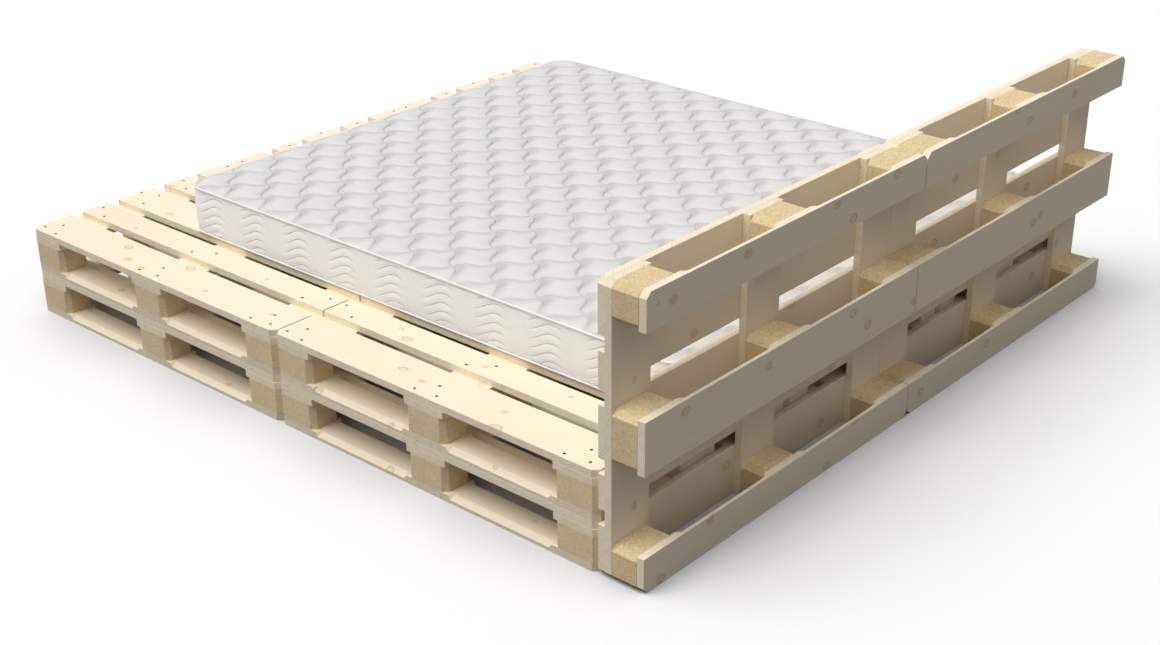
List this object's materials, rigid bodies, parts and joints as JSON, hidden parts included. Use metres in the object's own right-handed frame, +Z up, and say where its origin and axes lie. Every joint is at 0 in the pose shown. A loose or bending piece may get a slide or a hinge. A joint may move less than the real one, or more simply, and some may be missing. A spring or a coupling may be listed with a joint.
{
  "type": "pallet bed",
  "caption": "Low double bed of stacked flat timber pallets with pallets on edge as a headboard and a quilted foam mattress that lifts off.",
  "frame": {"origin": "on the ground under the middle of the bed's bounding box", "axes": "+Z up, +Y along the bed from the foot end to the headboard, +X to the long side on the viewer's left when seen from the headboard"},
  "size_m": [2.4012, 2.5456, 0.8],
  "materials": {
    "pallet_timber": "matte",
    "block_chipboard": "matte",
    "nail_steel": "matte",
    "quilted_cover": "matte",
    "border_cover": "matte",
    "edge_piping": "matte",
    "mattress_foam": "matte"
  },
  "bodies": {
    "pallets": {"base_layer1_row1_col1_deck": "pallet_timber", "base_layer1_row1_col1_runner_left": "pallet_timber", "base_layer1_row1_col1_runner_centre": "pallet_timber", "base_layer1_row1_col1_runner_right": "pallet_timber", "base_layer1_row1_col2_deck": "pallet_timber", "base_layer1_row1_col2_runner_left": "pallet_timber", "base_layer1_row1_col2_runner_centre": "pallet_timber", "base_layer1_row1_col2_runner_right": "pallet_timber", "base_layer1_row1_col3_deck": "pallet_timber", "base_layer1_row1_col3_runner_left": "pallet_timber", "base_layer1_row1_col3_runner_centre": "pallet_timber", "base_layer1_row1_col3_runner_right": "pallet_timber", "base_layer1_row2_col1_deck": "pallet_timber", "base_layer1_row2_col1_runner_left": "pallet_timber", "base_layer1_row2_col1_runner_centre": "pallet_timber", "base_layer1_row2_col1_runner_right": "pallet_timber", "base_layer1_row2_col2_deck": "pallet_timber", "base_layer1_row2_col2_runner_left": "pallet_timber", "base_layer1_row2_col2_runner_centre": "pallet_timber", "base_layer1_row2_col2_runner_right": "pallet_timber", "base_layer1_row2_col3_deck": "pallet_timber", "base_layer1_row2_col3_runner_left": "pallet_timber", "base_layer1_row2_col3_runner_centre": "pallet_timber", "base_layer1_row2_col3_runner_right": "pallet_timber", "base_layer2_row1_col1_deck": "pallet_timber", "base_layer2_row1_col1_runner_left": "pallet_timber", "base_layer2_row1_col1_runner_centre": "pallet_timber", "base_layer2_row1_col1_runner_right": "pallet_timber", "base_layer2_row1_col2_deck": "pallet_timber", "base_layer2_row1_col2_runner_left": "pallet_timber", "base_layer2_row1_col2_runner_centre": "pallet_timber", "base_layer2_row1_col2_runner_right": "pallet_timber", "base_layer2_row1_col3_deck": "pallet_timber", "base_layer2_row1_col3_runner_left": "pallet_timber", "base_layer2_row1_col3_runner_centre": "pallet_timber", "base_layer2_row1_col3_runner_right": "pallet_timber", "base_layer2_row2_col1_deck": "pallet_timber", "base_layer2_row2_col1_runner_left": "pallet_timber", "base_layer2_row2_col1_runner_centre": "pallet_timber", "base_layer2_row2_col1_runner_right": "pallet_timber", "base_layer2_row2_col2_deck": "pallet_timber", "base_layer2_row2_col2_runner_left": "pallet_timber", "base_layer2_row2_col2_runner_centre": "pallet_timber", "base_layer2_row2_col2_runner_right": "pallet_timber", "base_layer2_row2_col3_deck": "pallet_timber", "base_layer2_row2_col3_runner_left": "pallet_timber", "base_layer2_row2_col3_runner_centre": "pallet_timber", "base_layer2_row2_col3_runner_right": "pallet_timber", "headboard_1_deck": "pallet_timber", "headboard_1_runner_left": "pallet_timber", "headboard_1_runner_centre": "pallet_timber", "headboard_1_runner_right": "pallet_timber", "headboard_2_deck": "pallet_timber", "headboard_2_runner_left": "pallet_timber", "headboard_2_runner_centre": "pallet_timber", "headboard_2_runner_right": "pallet_timber"},
    "mattress": {"mattress_top_panel": "quilted_cover", "mattress_border": "border_cover", "mattress_core": "mattress_foam", "mattress_bottom_panel": "quilted_cover"}
  },
  "joints": [
    {"name": "mattress_lift", "type": "slide", "parent": "pallets", "child": "mattress", "axis": [0, 0, 1], "range_m": [0, 0.55]}
  ]
}
